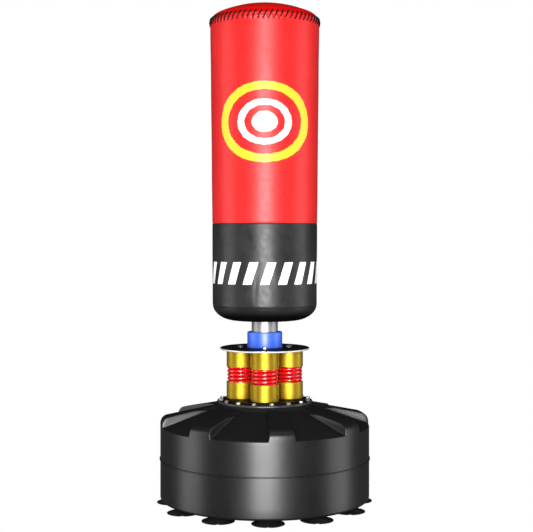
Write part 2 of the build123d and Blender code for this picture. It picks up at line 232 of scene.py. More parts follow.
def gather(name, parts, sharp=35.0):
    """One object out of several (points, faces) shells."""
    points, faces, start = [], [], 0
    for some_points, some_faces in parts:
        points.append(np.asarray(some_points).reshape(-1, 3))
        faces += [tuple(start + i for i in f) for f in some_faces]
        start += len(points[-1])
    return make_object(name, np.concatenate(points), faces, sharp)


def turned(points, azimuth):
    """The points turned about the upright axis, in the sense of the azimuth."""
    c, s = math.cos(azimuth), math.sin(azimuth)
    points = np.asarray(points).reshape(-1, 3)
    return points @ np.array([[c, s, 0], [-s, c, 0], [0, 0, 1]])


def place(piece, body, material, slot, *nodes):
    """Gives a piece its material and its body, and hides the CAD nodes that it stands for. The slot is not
    used.
    """
    piece.data.materials.clear()
    piece.data.materials.append(MATERIALS[material])
    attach(piece, body)
    if nodes:
        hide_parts(*nodes)
    return piece


def edge_material(disc, material, beyond, below=9.0):
    """A second material on a disc's rim, past a radius and under a height."""
    disc.data.materials.append(MATERIALS[material])
    for face in disc.data.polygons:
        if math.hypot(face.center.x, face.center.y) > beyond and face.center.z < below:
            face.material_index = 1


def dull_slopes(piece, finish, start=0.45, end=0.8, above=9.0):
    """Duller steps of a finish on the faces that look up or down, or lie above a height."""
    for step in range(1, DULL_STEPS):
        piece.data.materials.append(MATERIALS[f"{finish}_{step}"])
    for face in piece.data.polygons:
        share = (abs(face.normal.z) - start) / (end - start)
        if face.center.z > above:
            share = 1.0
        face.material_index = round(min(max(share, 0.0), 1.0) * (DULL_STEPS - 1))


# Material tools -----------------------------------------------------------------------------


class Shader:
    """A Principled material and the few nodes that it is built from."""

    def __init__(self, name):
        self.material = bpy.data.materials.new(name)
        self.material.use_nodes = True
        self.tree = self.material.node_tree
        self.tree.nodes.clear()
        self.surface = self.tree.nodes.new("ShaderNodeBsdfPrincipled")
        output = self.tree.nodes.new("ShaderNodeOutputMaterial")
        self.tree.links.new(self.surface.outputs["BSDF"], output.inputs["Surface"])
        coordinates = self.tree.nodes.new("ShaderNodeTexCoord")
        self.place = coordinates.outputs["Object"]
        self.facing = coordinates.outputs["Normal"]

    def set(self, **values):
        """Fixed values straight on the shader's own sockets."""
        for name, value in values.items():
            self.surface.inputs[name.replace("_", " ")].default_value = value
        return self

    def link(self, source, name):
        self.tree.links.new(source, self.surface.inputs[name])
        return self

    def node(self, kind, **inputs):
        made = self.tree.nodes.new(kind)
        for name, value in inputs.items():
            self.feed(made.inputs[name.replace("_", " ")], value)
        return made

    def feed(self, socket, value):
        if isinstance(value, bpy.types.NodeSocket):
            self.tree.links.new(value, socket)
        else:
            socket.default_value = value

    def math(self, operation, a, b=0.0, c=None):
        made = self.tree.nodes.new("ShaderNodeMath")
        made.operation = operation
        for socket, value in zip(made.inputs, (a, b) if c is None else (a, b, c)):
            self.feed(socket, value)
        return made.outputs[0]

    def noise(self, scale, detail=3.0, roughness=0.55, stretch=None):
        where = self.place
        if stretch is not None:
            scaled = self.tree.nodes.new("ShaderNodeVectorMath")
            scaled.operation = "MULTIPLY"
            self.feed(scaled.inputs[0], where)
            scaled.inputs[1].default_value = stretch
            where = scaled.outputs[0]
        made = self.node("ShaderNodeTexNoise", Vector=where, Scale=scale, Detail=detail, Roughness=roughness)
        return made.outputs["Fac"]

    def cells(self, scale, feature="F1"):
        made = self.node("ShaderNodeTexVoronoi", Vector=self.place, Scale=scale)
        made.feature = feature
        return made.outputs["Distance"]

    def ramp(self, value, low_in, high_in, low_out=0.0, high_out=1.0):
        made = self.tree.nodes.new("ShaderNodeMapRange")
        made.interpolation_type = "SMOOTHSTEP"
        for socket, item in zip(made.inputs, (value, low_in, high_in, low_out, high_out)):
            self.feed(socket, item)
        return made.outputs[0]

    def mix(self, factor, a, b):
        made = self.tree.nodes.new("ShaderNodeMix")
        made.data_type = "RGBA"
        self.feed(made.inputs["Factor"], factor)
        colours = [s for s in made.inputs if s.type == "RGBA"]
        self.feed(colours[0], a)
        self.feed(colours[1], b)
        return [s for s in made.outputs if s.type == "RGBA"][0]

    def bump(self, height, strength, distance, under=None):
        made = self.node("ShaderNodeBump", Height=height, Strength=strength, Distance=distance)
        if under is not None:
            self.tree.links.new(under, made.inputs["Normal"])
        return made.outputs["Normal"]

    def steep(self, start=0.45, end=0.8, above=9.0):
        """0 on upright faces, and 1 on the ones that look up or down or lie above a height."""
        slope = self.math("ABSOLUTE", self.node("ShaderNodeSeparateXYZ", Vector=self.facing).outputs["Z"])
        height = self.node("ShaderNodeSeparateXYZ", Vector=self.place).outputs["Z"]
        return self.math("MAXIMUM", self.ramp(slope, start, end), self.ramp(height, above, above + 8 * MM))

    def around(self):
        """Azimuth from the front and height of a point, for prints on the bag."""
        split = self.node("ShaderNodeSeparateXYZ", Vector=self.place)
        back = self.math("MULTIPLY", split.outputs["Y"], -1.0)
        return self.math("ARCTAN2", split.outputs["X"], back), split.outputs["Z"]


def colour(red, green, blue):
    return (red, green, blue, 1.0)


def grey(value):
    return colour(value, value, value)


def mottled(shader, dark, light, scale):
    """Base colour that drifts between two close tones."""
    base = shader.mix(shader.ramp(shader.noise(scale, 4.0), 0.3, 0.7), dark, light)
    shader.link(base, "Base Color")
    return base


def uneven_roughness(shader, smooth_value, rough_value, scale):
    shader.link(shader.ramp(shader.noise(scale, 5.0), 0.3, 0.7, smooth_value, rough_value), "Roughness")


# Materials ----------------------------------------------------------------------------------


def leather_grain(shader, strength):
    """Pebbled grain of coated fabric: shallow cells, finer creases and a slow unevenness."""
    slow = shader.bump(shader.noise(14.0, 3.0), 0.25, 1.2 * MM)
    pebble = shader.bump(shader.cells(620.0, "SMOOTH_F1"), strength, 0.30 * MM, under=slow)
    shader.link(shader.bump(shader.noise(2400.0, 2.0), strength * 0.5, 0.12 * MM, under=pebble), "Normal")


def cover_leather(name, dark, light, print_mask=None, print_colours=None, rough=(0.38, 0.48), gloss=0.44,
                  coat=0.18, top_tone=None):
    shader = Shader(name)
    drift = shader.ramp(shader.noise(9.0, 5.0), 0.3, 0.7)
    base = shader.mix(drift, dark, light)
    if print_mask is not None:
        for mask, ink in zip(print_mask(shader), print_colours):
            base = shader.mix(mask, base, ink)
    shader.link(base, "Base Color")
    uneven_roughness(shader, *rough, 60.0)
    leather_grain(shader, 0.35)
    shader.set(Specular_IOR_Level=gloss, Coat_Weight=coat, Coat_Roughness=0.28)
    # Painted shade: the faces that look up are mixed towards a darker red.
    if top_tone is not None:
        shader.link(shader.mix(shader.steep(*DOME_SLOPES), base, top_tone), "Base Color")
    return shader.material


def worn(shader, mask, amount):
    """A print mask with small chips out of it."""
    chips = shader.ramp(shader.noise(240.0, 6.0, 0.7), amount, amount + 0.05)
    return shader.math("MULTIPLY", mask, chips)


TARGET_Z = 1080 * MM
TARGET_AT_R = 153 * MM  # the cover's radius there
TARGET_ARC = 138 * MM  # half width along the cover
TARGET_RISE = 112 * MM  # half height
BARS_LOW_Z = 630 * MM
BARS_HIGH_Z = 692 * MM
BARS_AT_R = 150.5 * MM
BAR_PITCH = 50 * MM
BAR_SLANT = 0.32


def band(shader, value, inner, outer, soft):
    """1 where a value lies between two limits."""
    rise = shader.ramp(value, inner - soft, inner + soft)
    fall = shader.ramp(value, outer - soft, outer + soft)
    return shader.math("SUBTRACT", rise, fall)


def target_print(shader):
    """Two inks of a plain ringed target: an outer ring, and a disc in a ring."""
    azimuth, height = shader.around()
    across = shader.math("DIVIDE", shader.math("MULTIPLY", azimuth, TARGET_AT_R), TARGET_ARC)
    up = shader.math("DIVIDE", shader.math("SUBTRACT", height, TARGET_Z), TARGET_RISE)
    squared = shader.math("ADD", shader.math("MULTIPLY", across, across), shader.math("MULTIPLY", up, up))
    out = shader.math("SQRT", squared)
    ragged = shader.math("MULTIPLY_ADD", shader.noise(90.0, 5.0, 0.7), 0.07, out)
    yellow = worn(shader, band(shader, ragged, 0.83, 1.035, 0.006), 0.30)
    disc = shader.math("SUBTRACT", 1.0, shader.ramp(ragged, 0.285, 0.305))
    ring = band(shader, ragged, 0.45, 0.60, 0.008)
    white = worn(shader, shader.math("MAXIMUM", disc, ring), 0.33)
    return yellow, white


def bars_print(shader):
    """One ink: a row of plain slanted bars, chipped with wear, on the front half only."""
    azimuth, height = shader.around()
    arc = shader.math("MULTIPLY", azimuth, BARS_AT_R)
    lean = shader.math("MULTIPLY", shader.math("SUBTRACT", height, BARS_LOW_Z), BAR_SLANT)
    along = shader.math("SUBTRACT", arc, lean)
    step = shader.math("PINGPONG", along, BAR_PITCH / 2)
    wobble = shader.math("MULTIPLY_ADD", shader.noise(180.0, 5.0, 0.7), 3 * MM, step)
    bar = shader.math("SUBTRACT", 1.0, shader.ramp(wobble, 14.0 * MM, 14.8 * MM))
    row = band(shader, shader.math("MULTIPLY_ADD", shader.noise(160.0, 5.0), 3 * MM, height),
               BARS_LOW_Z + 1.5 * MM, BARS_HIGH_Z + 1.5 * MM, 0.5 * MM)
    ahead = shader.math("LESS_THAN", shader.math("ABSOLUTE", along), BAR_PITCH * 4.4)
    mask = shader.math("MULTIPLY", shader.math("MULTIPLY", bar, row), ahead)
    return (worn(shader, mask, 0.36),)


def moulded_plastic(name, dark, light, rough, grain, coat=0.0, coat_rough=0.12, gloss=0.5,
                    dull_above=None, dust=None):
    """Moulded plastic: a fine matt texture with slow drifts of gloss. Its faces that look up or down, and
    all faces above a height, can take a painted tone that stands in for light and shade.
    """
    shader = Shader(name)
    base = mottled(shader, dark, light, 6.0)
    uneven_roughness(shader, *rough, 18.0)
    slow = shader.bump(shader.noise(7.0, 2.0), 0.15, 2 * MM)
    shader.link(shader.bump(shader.noise(900.0, 3.0), grain, 0.15 * MM, under=slow), "Normal")
    shader.set(Specular_IOR_Level=gloss, Coat_Weight=coat, Coat_Roughness=coat_rough)
    # Painted light and shade: a flat tone mixed into the base on the faces that look up or down, and on all
    # faces above a height.
    if dull_above is not None:
        shader.link(shader.mix(shader.steep(above=dull_above), base, dust), "Base Color")
    return shader.material


def rubber(name):
    shader = Shader(name)
    mottled(shader, colour(0.006, 0.006, 0.007), colour(0.012, 0.012, 0.013), 40.0)
    uneven_roughness(shader, 0.5, 0.66, 90.0)
    shader.link(shader.bump(shader.noise(1200.0, 3.0), 0.2, 0.1 * MM), "Normal")
    shader.set(Specular_IOR_Level=0.35)
    return shader.material


def painted_steel(name, dark, light, rough, coat, gloss=0.5):
    """Gloss or satin paint over steel, with the faint dimples of a sprayed coat."""
    shader = Shader(name)
    mottled(shader, dark, light, 30.0)
    uneven_roughness(shader, *rough, 50.0)
    shader.link(shader.bump(shader.noise(420.0, 2.0), 0.12, 0.12 * MM), "Normal")
    shader.set(Specular_IOR_Level=gloss, Coat_Weight=coat, Coat_Roughness=0.1)
    return shader.material


def bare_metal(name, dark, light, rough, lines=0.0, metallic=1.0):
    """Bare or plated metal. Lines are the fine turned marks round a drawn or machined piece."""
    shader = Shader(name)
    mottled(shader, dark, light, 55.0)
    uneven_roughness(shader, *rough, 80.0)
    turning = shader.noise(1.0, 2.0, stretch=(30.0, 30.0, 2600.0))
    shader.link(shader.bump(turning, lines, 0.05 * MM), "Normal")
    shader.set(Metallic=metallic)
    return shader.material


def cord_material(name):
    """Waxed cord: near black, with fibres along it."""
    shader = Shader(name)
    mottled(shader, colour(0.004, 0.003, 0.003), colour(0.012, 0.009, 0.009), 300.0)
    shader.set(Specular_IOR_Level=0.15)
    uneven_roughness(shader, 0.45, 0.7, 400.0)
    shader.link(shader.bump(shader.noise(2600.0, 3.0), 0.5, 0.2 * MM), "Normal")
    return shader.material


def foam_material(name):
    """Open foam: pale grey with pores."""
    shader = Shader(name)
    mottled(shader, colour(0.2, 0.2, 0.21), colour(0.32, 0.32, 0.33), 25.0)
    shader.set(Roughness=0.95, Specular_IOR_Level=0.2)
    shader.link(shader.bump(shader.cells(500.0), 0.8, 0.8 * MM), "Normal")
    return shader.material


MATERIALS = {
    "red_cover": cover_leather("red_cover", colour(0.60, 0.004, 0.004), colour(0.65, 0.006, 0.006),
                               target_print, (colour(0.82, 0.52, 0.015), colour(0.80, 0.78, 0.78))),
    "black_cover": cover_leather("black_cover", grey(0.012), grey(0.020),
                                 bars_print, (grey(0.93),), rough=(0.34, 0.46)),
    "blue_plastic": moulded_plastic("blue_plastic", colour(0.008, 0.11, 0.80), colour(0.012, 0.13, 0.86),
                                    (0.38, 0.44), 0.06, coat=1.0, coat_rough=0.45, gloss=0.9),
    "rubber": rubber("rubber"),
    "black_steel": painted_steel("black_steel", grey(0.005), grey(0.009),
                                 (0.45, 0.55), 0.0, gloss=0.04),
    "red_steel": painted_steel("red_steel", colour(0.60, 0.001, 0.002), colour(0.68, 0.002, 0.003),
                               (0.22, 0.28), 1.0, gloss=1.0),
    "gold_steel": bare_metal("gold_steel", colour(0.56, 0.37, 0.028), colour(0.62, 0.42, 0.036),
                             (0.47, 0.51), 0.12),
    "chrome": bare_metal("chrome", grey(0.52), colour(0.58, 0.58, 0.575), (0.46, 0.50), 0.1),
    "zinc": bare_metal("zinc", colour(0.42, 0.42, 0.43), colour(0.54, 0.54, 0.55), (0.34, 0.44), 0.2),
    "bright_edge": bare_metal("bright_edge", colour(0.62, 0.62, 0.63), colour(0.72, 0.72, 0.73),
                              (0.3, 0.4), 0.4, metallic=0.3),
    # Painted highlight: a lighter grey rim that stands in for the light line along the flange's edge.
    "painted_highlight_edge": bare_metal("painted_highlight_edge", grey(0.05), grey(0.09),
                              (0.35, 0.45), 0.2, metallic=0.5),
    "brass": bare_metal("brass", colour(0.72, 0.52, 0.22), colour(0.82, 0.62, 0.3), (0.25, 0.4), 0.3),
    "cord": cord_material("cord"),
    "foam": foam_material("foam"),
}


def add_dull_steps(name, build, *looks, gloss, coat=0.0, **more):
    """One finish in steps, from the gloss of upright faces down to the dull of flat ones."""
    for step in range(DULL_STEPS):
        left = 1.0 - step / (DULL_STEPS - 1)
        title = f"{name}_{step}" if step else name
        shine = gloss[0] + (gloss[1] - gloss[0]) * left
        MATERIALS[title] = build(title, *looks, gloss=shine, coat=coat * left, **more)


# The domed top: painted shade, a darker red with less gloss on the faces that look up.
add_dull_steps("red_top", cover_leather, colour(0.60, 0.004, 0.004), colour(0.65, 0.006, 0.006),
               gloss=(0.02, 0.44), coat=0.18, top_tone=colour(0.46, 0.001, 0.001))
# Painted light and shade on the tank: the faces that look up, and all faces above TANK_DULL_Z, get a lighter
# grey base without gloss; on the tops this paints light, and round the collar the lost gloss paints shade.
add_dull_steps("tank", moulded_plastic, grey(0.004), grey(0.006),
               (0.34, 0.39), 0.2, gloss=(0.0, 0.5), coat=0.6, coat_rough=0.3, dull_above=TANK_DULL_Z,
               dust=grey(0.010))
# Black plastic: painted shade, a darker base with no gloss on the faces that look up or down, such as the
# underside of the bag's cap.
add_dull_steps("black_plastic", moulded_plastic, colour(0.008, 0.008, 0.009), colour(0.014, 0.014, 0.015),
               (0.34, 0.42), 0.2, gloss=(0.0, 0.5), dull_above=9.0, dust=grey(0.003))


# Tank ---------------------------------------------------------------------------------------

COLLAR_R = 140 * MM
SEAM_Z = 129 * MM
RIM_Z = 223 * MM
RIM_ROUND = 5 * MM
PANEL_INNER_Z = 277 * MM
RIB_INNER_Z = 282 * MM
RIB_SHOULDER = (283 * MM, 253 * MM)
RIB_ROUND = 24 * MM
PIT_R = 96 * MM
PIT_Z = 262 * MM
NECK_R = 31 * MM
NECK_BORE_R = 23 * MM


def rib_share(azimuth, radius):
    """1 on a rib, 0 on a sunk panel, with a soft step at the rib's sides."""
    pitch = TAU / RIB_COUNT
    off = (azimuth - RIB_AZIMUTH + pitch / 2) % pitch - pitch / 2
    inside = (RIB_HALF_ARC - np.abs(off)) * radius
    return smoothstep(inside / RIB_EDGE + 0.5)


def tank_azimuths():
    """Even directions, with many more at the ribs' sides."""
    pitch = TAU / RIB_COUNT
    dense = np.linspace(-math.radians(1.4), math.radians(1.4), 23)
    coarse = np.linspace(0, pitch, 30, endpoint=False)
    one = np.concatenate([coarse, RIB_HALF_ARC + dense, pitch - RIB_HALF_ARC + dense])
    one = np.unique(np.round(one % pitch, 6))
    return np.concatenate([one + RIB_AZIMUTH + i * pitch for i in range(RIB_COUNT)])


def tank_top_profile(rim_z, rim_round, inner_z):
    """From the wall over the rim and up the slope to the collar, always with the same point count."""
    line = rounded([(TANK_R, SEAM_Z + 6 * MM, 0), (TANK_R, rim_z, rim_round), (COLLAR_R, inner_z, 0)], 8)
    wall = [(TANK_R, line[0][1] + (line[1][1] - line[0][1]) * k / 12) for k in range(12)]
    start, end = line[-2], line[-1]
    slope = [(start[0] + (end[0] - start[0]) * k / 44, start[1] + (end[1] - start[1]) * k / 44)
             for k in range(1, 45)]
    return np.array(wall + line[1:-1] + slope)


def tank_profile():
    """Closed outline of the tank under a rib and under a panel, with matching points."""
    bead = [(TANK_R, SEAM_Z - 6 * MM), (TANK_R, SEAM_Z - 2.4 * MM),
            (TANK_R + 0.7 * BEAD_OUT, SEAM_Z - 1.9 * MM),
            (TANK_R + BEAD_OUT, SEAM_Z - 1.0 * MM), (TANK_R + BEAD_OUT, SEAM_Z + 0.8 * MM),
            (TANK_R + 0.7 * BEAD_OUT, SEAM_Z + 1.6 * MM), (TANK_R, SEAM_Z + 2.1 * MM)]
    foot = rounded([(0, TANK_Z, 0), (TANK_R, TANK_Z, 8 * MM), (TANK_R, SEAM_Z - 6 * MM, 0)], 8)
    foot = filled(foot, 30 * MM)
    lower = np.array(foot[:-1] + bead)
    collar = rounded([(COLLAR_R, RIB_INNER_Z + 0.5 * MM, 0), (COLLAR_R, COLLAR_Z, 1.5 * MM),
                      (PIT_R, COLLAR_Z, 0), (PIT_R, PIT_Z, 0), (0, PIT_Z, 0)], 4)
    rib_slope = (RIB_INNER_Z - RIB_SHOULDER[1]) / (RIB_SHOULDER[0] - COLLAR_R)
    rib_rim_z = RIB_SHOULDER[1] - rib_slope * (TANK_R - RIB_SHOULDER[0])
    panel = tank_top_profile(RIM_Z, RIM_ROUND, PANEL_INNER_Z)
    rib = tank_top_profile(rib_rim_z, RIB_ROUND, RIB_INNER_Z)
    return (np.concatenate([lower, panel, collar]), np.concatenate([lower, rib, collar]))


def tank_points(azimuth, flat, raised):
    share_at = (flat[:, 0] + raised[:, 0]) / 2
    share = rib_share(azimuth[:, None], np.maximum(share_at[None, :], COLLAR_R))
    line = flat[None] * (1 - share[..., None]) + raised[None] * share[..., None]
    return line[..., 0], line[..., 1]


def make_neck():
    """The filling neck: a short pipe with soft edges that stands out of a sunk panel."""
    plug = middle("fill_plug")
    top = low("fill_plug_gasket").z
    line = rounded([(NECK_BORE_R, RIM_Z + 4 * MM, 0), (NECK_R + 1 * MM, RIM_Z + 4 * MM, 0),
                    (NECK_R, top, 1.5 * MM), (NECK_BORE_R, top, 1 * MM),
                    (NECK_BORE_R, RIM_Z + 5 * MM, 0)], 5)
    neck = lathe("filling_neck", line, 96, closed=True, centre=(plug.x, plug.y))
    place(neck, "base", "tank", "base_plastic", "base_tank")
    dull_slopes(neck, "tank", above=TANK_DULL_Z)


def open_neck(tank):
    """Cuts the filling hole down through the tank's skin."""
    plug = middle("fill_plug")
    under, over = 205 * MM, 300 * MM
    line = [(0, under), (NECK_BORE_R, under), (NECK_BORE_R, over), (0, over)]
    cutter = lathe("neck_cutter", line, 96, sharp=35.0, centre=(plug.x, plug.y))
    cut = tank.modifiers.new("neck", "BOOLEAN")
    cut.operation = "DIFFERENCE"
    cut.object = cutter
    cut.solver = "EXACT"
    with bpy.context.temp_override(object=tank, active_object=tank):
        bpy.ops.object.modifier_apply(modifier=cut.name)
    bpy.data.objects.remove(cutter)


def make_tank():
    flat, raised = tank_profile()
    azimuth = tank_azimuths()
    radius, height = tank_points(azimuth, flat, raised)
    points = ring_points(azimuth[:, None], radius, height)
    tank = make_object("tank_skin", points, grid_faces(len(azimuth), len(flat), True, False), 40.0)
    open_neck(tank)
    place(tank, "base", "tank", "base_plastic", "base_tank")
    dull_slopes(tank, "tank", above=TANK_DULL_Z)
    make_neck()


# Suction cups -------------------------------------------------------------------------------


def cup_shape(azimuth, radius, height):
    """A small notch in the lip at the front of a cup, where a finger lets the air in."""
    depth = np.exp(-((((azimuth + math.pi) % TAU - math.pi) / 0.10) ** 2))
    lip = smoothstep((radius - 36 * MM) / (8 * MM))
    return radius - 3.2 * MM * depth * lip, height + 0.6 * MM * depth * lip


def make_suction_cups():
    rows = [(0, 5 * MM, 0), (12 * MM, 4.8 * MM, 8 * MM), (30 * MM, 3.0 * MM, 20 * MM), (43 * MM, 0, 0),
            (45 * MM, 0, 0.2 * MM), (45 * MM, 1.5 * MM, 0.6 * MM), (34 * MM, 4.4 * MM, 10 * MM),
            (21 * MM, 9.6 * MM, 8 * MM), (17.5 * MM, 11.2 * MM, 1.5 * MM), (16 * MM, 14 * MM, 0.6 * MM),
            (0, 14 * MM, 0)]
    profile = filled(rounded(rows, 5), 5 * MM)
    for i in range(12):
        node = f"suction_cup_{i + 1:02d}"
        spot = middle(node)
        cup = lathe(f"cup_{i + 1:02d}", profile, 120, cup_shape, centre=(spot.x, spot.y))
        place(cup, "base", "rubber", "black_rubber", node)


# Filling plug -------------------------------------------------------------------------------


def make_fill_plug():
    spot = middle("fill_plug")
    seat = high("fill_plug_gasket").z
    foot, top = low("fill_plug").z, seat + 5 * MM
    rows = [(0, seat - 1 * MM, 0), (19 * MM, seat - 1 * MM, 0), (19.7 * MM, foot, 0.4 * MM),
            (22.7 * MM, foot, 0.8 * MM),
            (22.7 * MM, seat, 0.5 * MM), (30 * MM, seat, 0.6 * MM), (30 * MM, top, 1.2 * MM),
            (26 * MM, top, 1 * MM), (24.5 * MM, top - 1.2 * MM, 1 * MM), (0, top - 1.2 * MM, 0)]

    def knurl(azimuth, radius, height):
        rim = (radius > 29 * MM) & (height > seat + 0.5 * MM)
        return radius - rim * 0.7 * MM * (0.5 + 0.5 * np.cos(36 * azimuth)), height

    profile = filled(rounded(rows, 4), 4 * MM)
    plug = lathe("plug_body", profile, 288, knurl, centre=(spot.x, spot.y))
    place(plug, "filler_plug", "black_plastic", "base_plastic", "fill_plug")
    dull_slopes(plug, "black_plastic")
    bar = bpy.data.objects.new("plug_finger_bar", bpy.data.meshes.new("plug_finger_bar"))
    work = bmesh.new()
    bmesh.ops.create_cube(work, size=1.0)
    bar_foot = top - 2 * MM
    bar_tall = high("fill_plug").z - bar_foot
    for v in work.verts:
        v.co = Vector((v.co.x * 44 * MM, v.co.y * 8 * MM, bar_foot + (v.co.z + 0.5) * bar_tall))
    work.to_mesh(bar.data)
    work.free()
    bpy.context.scene.collection.objects.link(bar)
    bevel = bar.modifiers.new("soft", "BEVEL")
    bevel.width, bevel.segments = 2.4 * MM, 4
    turn = Matrix.Rotation(math.radians(166.5), 4, "Z")
    bar.data.transform(Matrix.Translation((spot.x, spot.y, 0)) @ turn)
    bar.data.shade_smooth()
    place(bar, "filler_plug", "black_plastic", "base_plastic", "fill_plug")
    dull_slopes(bar, "black_plastic")


# Flange -------------------------------------------------------------------------------------


def hex_head(across_flats, height, washer_r):
    """A hex head with a washer face under it and a chamfered top, on z = 0."""
    rows = [(0, 0), (washer_r, 0), (washer_r, 0.8 * MM), (across_flats * 0.5, 0.9 * MM),
            (across_flats * 0.5, 1.0 * MM), (across_flats * 0.5, height - 1.0 * MM),
            (across_flats * 0.5, height - 0.4 * MM), (across_flats * 0.47, height),
            (across_flats * 0.3, height), (across_flats * 0.26, height - 0.4 * MM), (0, height - 0.4 * MM)]
    line = np.array(rows)
    azimuth = even_azimuths(72)[:, None]
    radius = np.repeat(line[None, :, 0], 72, axis=0)
    z = np.repeat(line[None, :, 1], 72, axis=0)
    flat = across_flats / 2 / np.cos((azimuth + math.pi / 6) % (math.pi / 3) - math.pi / 6)
    top = smoothstep((z - (height - 1.0 * MM)) / (1.0 * MM))
    limit = flat * (1 - top) + np.minimum(flat, across_flats / 2) * top
    radius = np.where((z > 0.9 * MM) & (radius > across_flats * 0.45), limit, radius)
    return ring_points(azimuth, radius, z), grid_faces(72, len(line), True, False)


def bolt_ring(name, count, radius, z, start, across_flats, height, body, node):
    points, faces = hex_head(across_flats, height, across_flats * 0.62)
    points = points.reshape(-1, 3)
    parts = []
    for i in range(count):
        azimuth = start + TAU * i / count
        head = turned(points, i * 1.1) + np.array([0, -radius, z])
        parts.append((turned(head, azimuth), faces))
    bolts = gather(name, parts, 25.0)
    place(bolts, body, "zinc", "zinc_steel", node)


def make_flange():
    top, edge = FLANGE_TOP_Z, high("base_flange").x
    rows = [(0, COLLAR_Z + 0.02 * MM, 0), (edge, COLLAR_Z + 0.02 * MM, 1.0 * MM),
            (edge, top - 1.5 * MM, 1.5 * MM), (edge - 3 * MM, top, 1.5 * MM), (0, top, 0)]
    flange = lathe("flange_disc", filled(rounded(rows, 6), 20 * MM), 240)
    place(flange, "base", "black_steel", "black_steel", "base_flange")
    # Painted highlight along the flange's rim.
    edge_material(flange, "painted_highlight_edge", edge - 2.4 * MM)
    bolt_ring("flange_bolt_heads", FLANGE_BOLTS, FLANGE_BOLT_AT_R, top, FLANGE_BOLT_AZIMUTH, 11.5 * MM,
              BOLT_HEAD_TALL, "base", "flange_bolts")
    plate_r, plate_top = high("spring_seat_plate").x, high("spring_seat_plate").z
    rows = [(0, top, 0), (plate_r, top, 0.3 * MM), (plate_r, plate_top, 0.8 * MM), (0, plate_top, 0)]
    plate = lathe("seat_plate", filled(rounded(rows, 4), 20 * MM), 200)
    place(plate, "base", "black_steel", "black_steel", "spring_seat_plate")


# Spring columns -----------------------------------------------------------------------------

DIMPLE_R = 1.1 * MM


def spring_cup(name, node, body, rim_up):
    """A drawn cup with a rolled rim, and a ring of crimp marks near its open end."""
    lo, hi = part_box(node)
    spot, radius, wall = middle(node), (hi.x - lo.x) / 2, 1.5 * MM
    height = hi.z - lo.z
    rows = [(0, 0, 0), (radius, 0, 2.2 * MM), (radius, height - 2.2 * MM, 0.5 * MM),
            (radius, height, 0.7 * MM), (radius - wall, height, 0.5 * MM), (radius - wall, 2 * MM, 0),
            (0, 2 * MM, 0)]
    profile = filled(rounded(rows, 5), 1.1 * MM)
    profile = [p for i, p in enumerate(profile) if p[0] > radius - 4 * MM or i % 6 == 0 or p[0] == 0]
    band_z = height - 4.2 * MM

    def crimps(azimuth, r, z):
        pitch = TAU / 48
        off = ((azimuth + pitch / 2) % pitch - pitch / 2) * radius
        gone = np.exp(-((off / DIMPLE_R) ** 2 + ((z - band_z) / DIMPLE_R) ** 2))
        outer = r > radius - 0.6 * wall
        return r - outer * 0.5 * MM * gone, z

    cup = lathe(name, profile, 288, crimps)
    for v in cup.data.vertices:
        v.co.z = lo.z + v.co.z if rim_up else hi.z - v.co.z
        v.co.x += spot.x
        v.co.y += spot.y
    if not rim_up:
        cup.data.flip_normals()
    place(cup, body, "gold_steel", "gold_steel", node)


SPRING_TURNS = 12
SPRING_WIRE_R = 5 * MM


def coil_points(node):
    """Centre line of one coil, wound as the CAD coil is."""
    lo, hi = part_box(node)
    spot = middle(node)
    mean_r = (hi.x - lo.x) / 2 - SPRING_WIRE_R
    foot, top = lo.z + SPRING_WIRE_R, hi.z - SPRING_WIRE_R
    t = np.linspace(0, 1, SPRING_TURNS * 48 + 1)
    angle = TAU * SPRING_TURNS * t
    start = math.atan2(spot.y, spot.x) + math.pi / 2
    x, y = mean_r * np.cos(angle + start), mean_r * np.sin(angle + start)
    return np.stack([spot.x + x, spot.y + y, foot + (top - foot) * t], axis=-1)


def make_springs():
    for side in SIDES:
        node = f"spring_{side}"
        line = coil_points(node)
        split = int(np.argmin(np.abs(line[:, 2] - PIVOT_Z)))
        lower = gather(f"coil_{side}_lower", [tube_along(line[:split + 1], SPRING_WIRE_R, 16)], 50.0)
        upper = gather(f"coil_{side}_upper", [tube_along(line[split:], SPRING_WIRE_R, 16)], 50.0)
        for piece in (lower, upper):
            piece.data.materials.append(MATERIALS["red_steel"])
            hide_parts(node)
        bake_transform(lower)
        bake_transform(upper)


def make_columns():
    for side in SIDES:
        spring_cup(f"cup_lower_{side}", f"lower_spring_cup_{side}", "base", True)
        spring_cup(f"cup_upper_{side}", f"upper_spring_cup_{side}", "upper", False)
    make_springs()


# Upper plate, tube and collar ---------------------------------------------------------------


def make_upper_plate():
    lo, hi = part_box("top_plate")
    rows = [(0, lo.z, 0), (hi.x - 1.5 * MM, lo.z, 0), (hi.x, lo.z + 1.0 * MM, 0.8 * MM),
            (hi.x, hi.z - 1.2 * MM, 0.8 * MM), (hi.x - 2.0 * MM, hi.z, 0.5 * MM), (0, hi.z, 0)]
    plate = lathe("upper_plate", filled(rounded(rows, 4), 12 * MM), 240, sharp=50.0)
    place(plate, "upper", "black_steel", "black_steel", "top_plate")
    edge_material(plate, "bright_edge", hi.x - 2.2 * MM, hi.z - 1.4 * MM)
    bolt_ring("upper_bolt_heads", len(SIDES), COLUMN_AT_R, hi.z, 0.0, 13 * MM, BOLT_HEAD_TALL, "upper",
              "upper_column_bolts")


